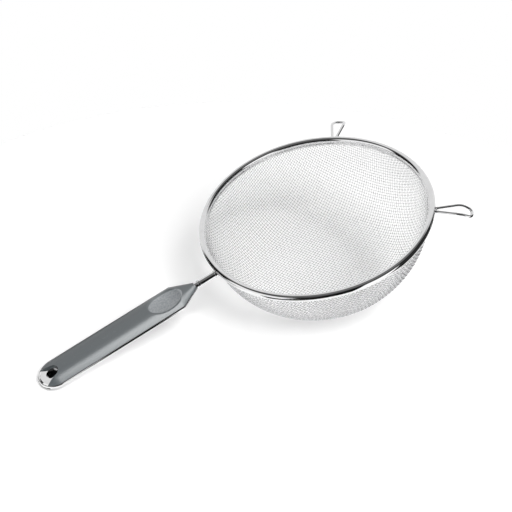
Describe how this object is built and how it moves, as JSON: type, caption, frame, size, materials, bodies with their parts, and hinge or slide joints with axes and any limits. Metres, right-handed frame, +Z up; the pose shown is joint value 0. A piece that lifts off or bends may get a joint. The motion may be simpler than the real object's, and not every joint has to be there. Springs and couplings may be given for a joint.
{
  "type": "mesh strainer",
  "caption": "Wide round wire-mesh strainer with a rolled steel rim, two bent wire rest loops, a round neck and a steel handle with a grey grip, thumb scoop and hanging hole.",
  "frame": {"origin": "on the floor, straight below the centre of the rim, with the strainer lying at rest on its bowl and handle tail", "axes": "+X from the handle tail towards the rest loops, +Y across the handle to the left rest loop, +Z up from the floor"},
  "size_m": [0.3567, 0.205, 0.1088],
  "materials": {
    "polished_steel": "mirror-polished stainless steel",
    "mesh_steel": "plain-woven stainless wire cloth, stood in for by a grid of thin ribs",
    "grey_grip": "soft satin grey"
  },
  "bodies": {
    "strainer": {"mesh_bowl": "mesh_steel", "rim_band": "polished_steel", "rim_core_wire": "polished_steel", "rim_inner_ring": "polished_steel", "rest_loop_left": "polished_steel", "rest_loop_right": "polished_steel", "neck_tube": "polished_steel", "rim_collar": "polished_steel", "handle_collar": "polished_steel", "tang": "polished_steel", "handle_shell": "polished_steel", "grip_insert": "grey_grip"}
  },
  "joints": []
}
